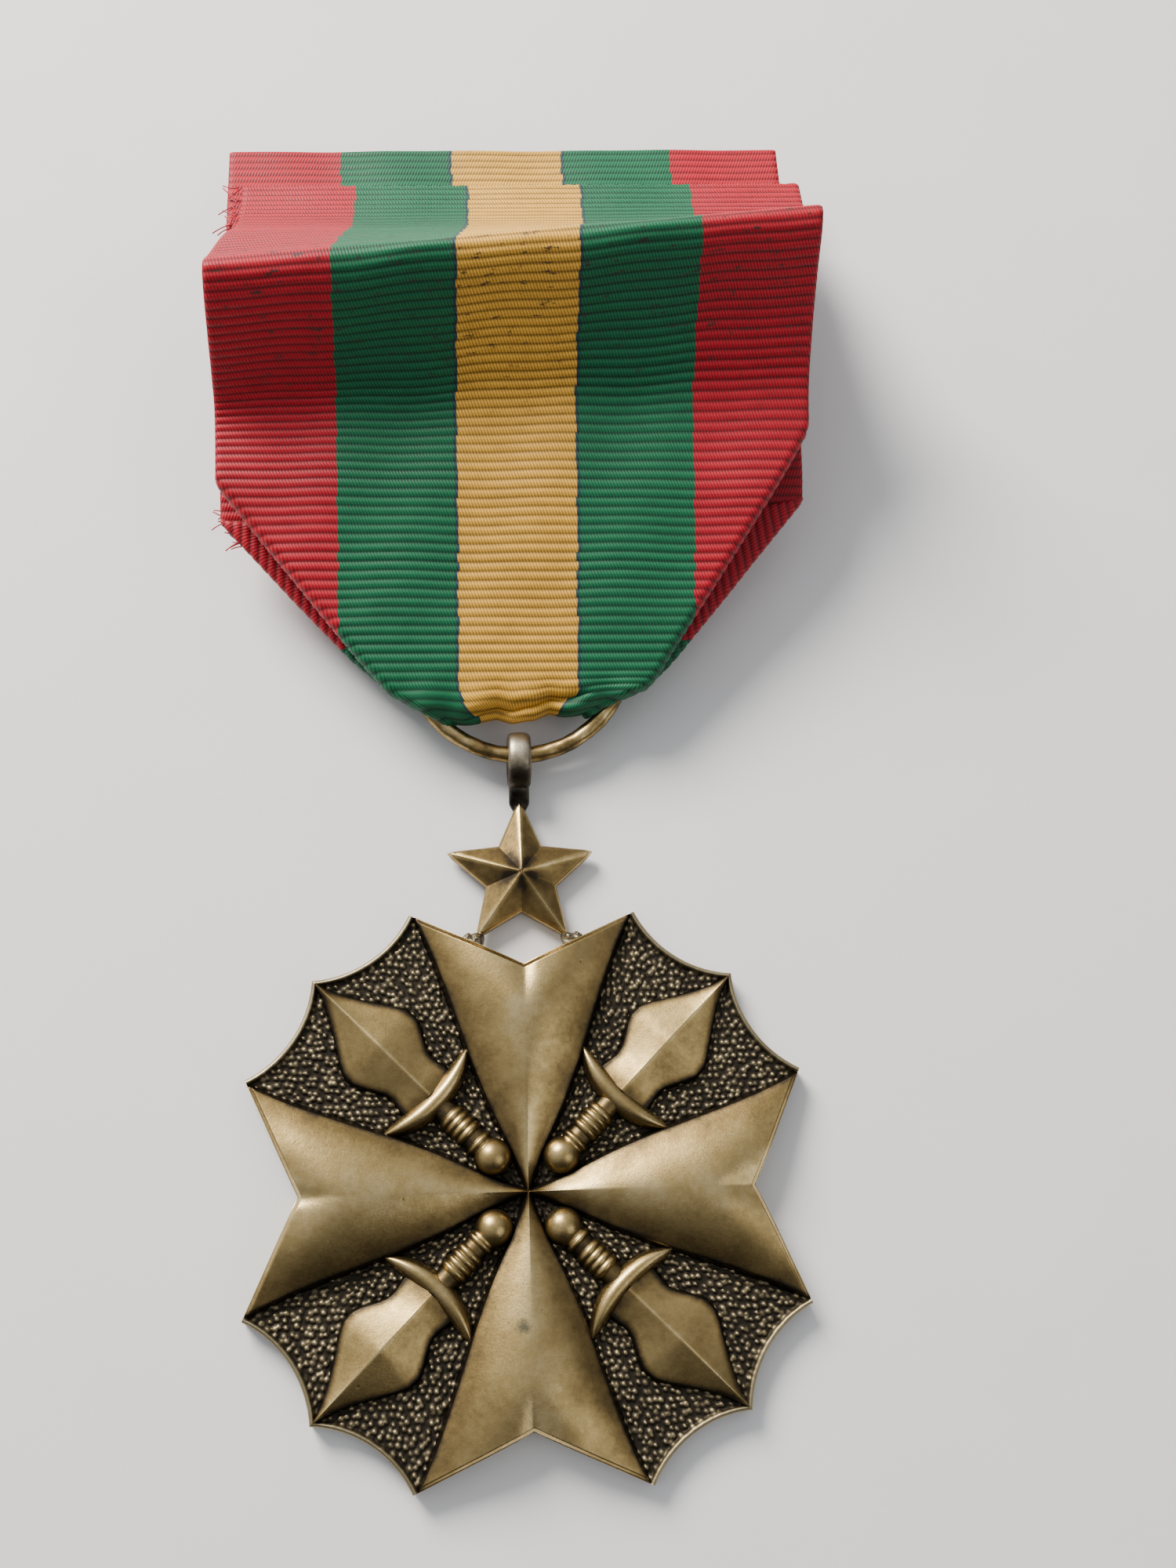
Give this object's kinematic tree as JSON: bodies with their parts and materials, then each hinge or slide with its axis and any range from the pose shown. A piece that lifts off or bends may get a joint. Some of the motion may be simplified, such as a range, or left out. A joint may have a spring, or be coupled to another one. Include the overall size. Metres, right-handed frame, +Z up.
{
  "type": "service medal",
  "caption": "Cross-shaped service medal with a star suspension and a ring on a folded, striped ribbon with a brooch pin.",
  "frame": {"origin": "on the resting surface, under the middle of the medal's outline", "axes": "+Z up, square to the badge's face; +Y from the badge to the ribbon's upper end; +X to the right of the face"},
  "size_m": [0.0384, 0.0892, 0.0166],
  "materials": {
    "antique_ground": "antique, dark patina in the recesses",
    "antique_cross": "antique, dark patina in the recesses",
    "antique_swords": "antique, dark patina in the recesses",
    "antique_star": "antique, dark patina in the recesses",
    "solder": "dull solder",
    "worn_eyelet": "worn, slightly silvery",
    "ring_wire": "worn wire",
    "ribbon": "ribbed woven ribbon, five stripes",
    "thread": "sewing thread",
    "brooch_metal": "nickelled, slightly tarnished",
    "rivet_metal": "nickelled, slightly tarnished",
    "needle_steel": "drawn wire, polished"
  },
  "bodies": {
    "ribbon_top": {"ribbon_crown": "ribbon", "ribbon_tail": "ribbon", "closing_seam": "thread", "brooch_bar": "brooch_metal", "brooch_stitches": "thread", "pin_hinge": "brooch_metal", "hinge_rivet": "rivet_metal", "pin_catch": "brooch_metal"},
    "ribbon_drape": {"ribbon_front_drape": "ribbon", "ribbon_back_drape": "ribbon", "ribbon_front_tucks": "ribbon", "ribbon_back_tucks": "ribbon", "ribbon_ring_loop": "ribbon"},
    "ring": {"suspension_ring": "ring_wire"},
    "pendant": {"ground_plate": "antique_ground", "maltese_cross": "antique_cross", "sword_upper_right": "antique_swords", "sword_upper_left": "antique_swords", "sword_lower_left": "antique_swords", "sword_lower_right": "antique_swords", "star": "antique_star", "star_solder": "solder", "eyelet": "worn_eyelet"},
    "pin": {"pin_needle": "needle_steel"}
  },
  "joints": [
    {"name": "ribbon_flex", "type": "hinge", "parent": "ribbon_top", "child": "ribbon_drape", "pos_m": [0, 0.01856, 0.00664], "axis": [1, 0, 0], "range_deg": [-30, 10]},
    {"name": "ring_sway", "type": "hinge", "parent": "ribbon_drape", "child": "ring", "pos_m": [0, 0.00783, 0.00376], "axis": [0, -0.2588, 0.9659], "range_deg": [-15, 15]},
    {"name": "pendant_swing", "type": "hinge", "parent": "ring", "child": "pendant", "pos_m": [0, 0.00088, 0.0019], "axis": [1, 0, 0], "range_deg": [-90, 60]},
    {"name": "pin_opening", "type": "hinge", "parent": "ribbon_top", "child": "pin", "pos_m": [-0.0135, 0.02706, 0.0016], "axis": [0, 1, 0], "range_deg": [0, 65]}
  ]
}
